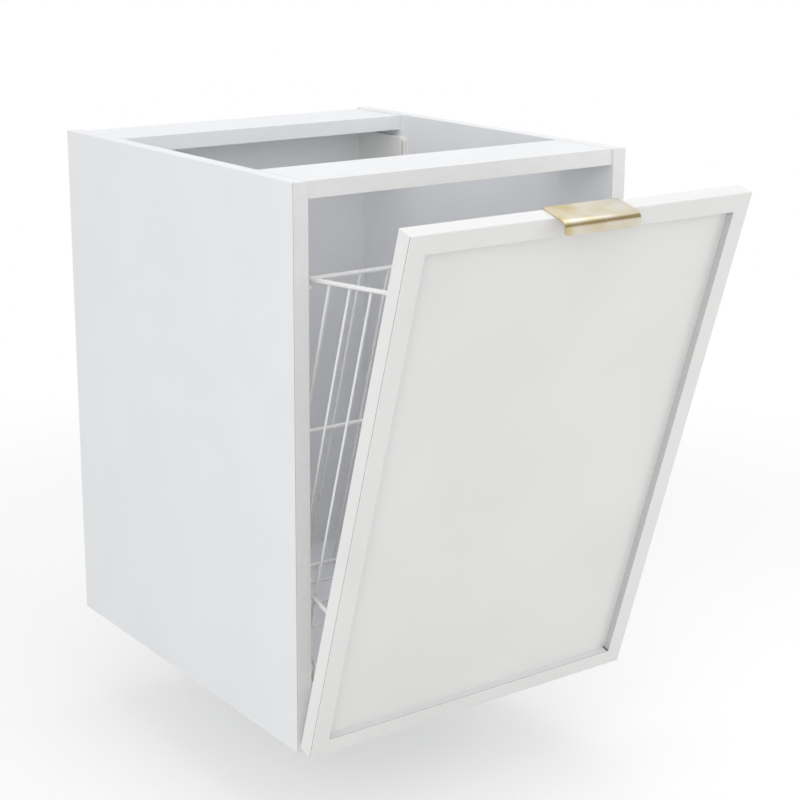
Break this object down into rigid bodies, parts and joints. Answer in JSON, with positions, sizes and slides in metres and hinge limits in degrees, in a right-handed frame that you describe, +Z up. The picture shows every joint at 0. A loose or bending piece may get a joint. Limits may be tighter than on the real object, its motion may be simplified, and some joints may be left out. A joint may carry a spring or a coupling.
{
  "type": "laundry cabinet",
  "caption": "Wall-hung white bathroom cabinet body with a tilt-out framed door, a brass lip pull and a lift-off wire laundry basket on the door's back",
  "frame": {"origin": "centre of the carcass underside, midway between the side panels and between their front and rear edges", "axes": "+Z up, +Y towards the wall, +X to the right seen from the front; the door opens towards -Y"},
  "size_m": [0.45, 0.7155, 0.622],
  "materials": {
    "white_melamine": "white melamine-faced particle board, fine satin",
    "white_edge_band": "white edge band, satin",
    "white_lacquer": "white satin lacquer on routed fibreboard",
    "white_hardboard": "white lacquered thin fibreboard",
    "beech": "raw beech",
    "zinc_steel": "bright zinc-plated steel",
    "nickel_steel": "satin nickel-plated steel",
    "white_nylon": "white nylon, moulded",
    "clear_bumper": "soft clear dot",
    "brushed_brass": "brushed champagne brass",
    "white_wire": "white plastic-coated steel wire, gloss"
  },
  "bodies": {
    "carcass": {"side_panel_left": "white_melamine", "side_panel_right": "white_melamine", "bottom_panel": "white_melamine", "front_top_rail": "white_melamine", "back_top_rail": "white_melamine", "back_panel": "white_hardboard", "side_edge_band_left": "white_edge_band", "side_edge_band_right": "white_edge_band", "rail_edge_band": "white_edge_band", "bottom_edge_band": "white_edge_band", "carcass_dowels": "beech", "hanger_plate_left": "zinc_steel", "hanger_plate_right": "zinc_steel", "hanger_cover_left": "white_nylon", "hanger_cover_right": "white_nylon", "hanger_adjusters": "zinc_steel", "hanger_screws": "zinc_steel", "hinge_mounting_plates": "nickel_steel", "hinge_arms": "nickel_steel", "hinge_arm_pins": "nickel_steel", "hinge_arm_screws": "nickel_steel", "hinge_plate_screws": "nickel_steel", "stop_pegs": "white_nylon", "stop_peg_screws": "zinc_steel"},
    "hinge_link_left": {"hinge_link_left": "nickel_steel"},
    "hinge_link_right": {"hinge_link_right": "nickel_steel"},
    "hook_left": {"hanger_hook_left": "zinc_steel"},
    "hook_right": {"hanger_hook_right": "zinc_steel"},
    "door": {"door_panel": "white_lacquer", "lip_pull": "brushed_brass", "lip_pull_screws": "brushed_brass", "hinge_cups": "nickel_steel", "hinge_cup_pins": "nickel_steel", "hinge_cup_screws": "nickel_steel", "basket_top_clips": "white_nylon", "basket_low_clips": "white_nylon", "basket_clip_screws": "zinc_steel", "door_bumpers": "clear_bumper"},
    "basket": {"basket_top_ring": "white_wire", "basket_corner_posts": "white_wire", "basket_back_rods": "white_wire", "basket_front_rod": "white_wire", "basket_back_uprights": "white_wire", "basket_front_uprights": "white_wire", "basket_left_uprights": "white_wire", "basket_right_uprights": "white_wire", "basket_floor_wires": "white_wire", "basket_floor_rods": "white_wire", "basket_loop_left": "white_wire", "basket_loop_right": "white_wire"}
  },
  "joints": [
    {"name": "door_tilt", "type": "hinge", "parent": "carcass", "child": "door", "pos_m": [0, -0.275, 0.003], "axis": [1, 0, 0], "range_deg": [-16.2, 0]},
    {"name": "hinge_link_left_turn", "type": "hinge", "parent": "carcass", "child": "hinge_link_left", "pos_m": [-0.125, -0.24303, 0.03055], "axis": [1, 0, 0], "range_deg": [0, 12.5]},
    {"name": "hinge_link_right_turn", "type": "hinge", "parent": "carcass", "child": "hinge_link_right", "pos_m": [0.125, -0.24303, 0.03055], "axis": [1, 0, 0], "range_deg": [0, 12.5]},
    {"name": "basket_lift", "type": "slide", "parent": "door", "child": "basket", "axis": [0, -0.279, 0.9603], "range_m": [0, 0.02]},
    {"name": "hook_left_height", "type": "slide", "parent": "carcass", "child": "hook_left", "axis": [0, 0, 1], "range_m": [-0.006, 0.006]},
    {"name": "hook_right_height", "type": "slide", "parent": "carcass", "child": "hook_right", "axis": [0, 0, 1], "range_m": [-0.006, 0.006]}
  ],
  "couplings": [
    {"joint": "hinge_link_left_turn", "follows": "door_tilt", "ratio": -0.77104},
    {"joint": "hinge_link_right_turn", "follows": "door_tilt", "ratio": -0.77104}
  ]
}
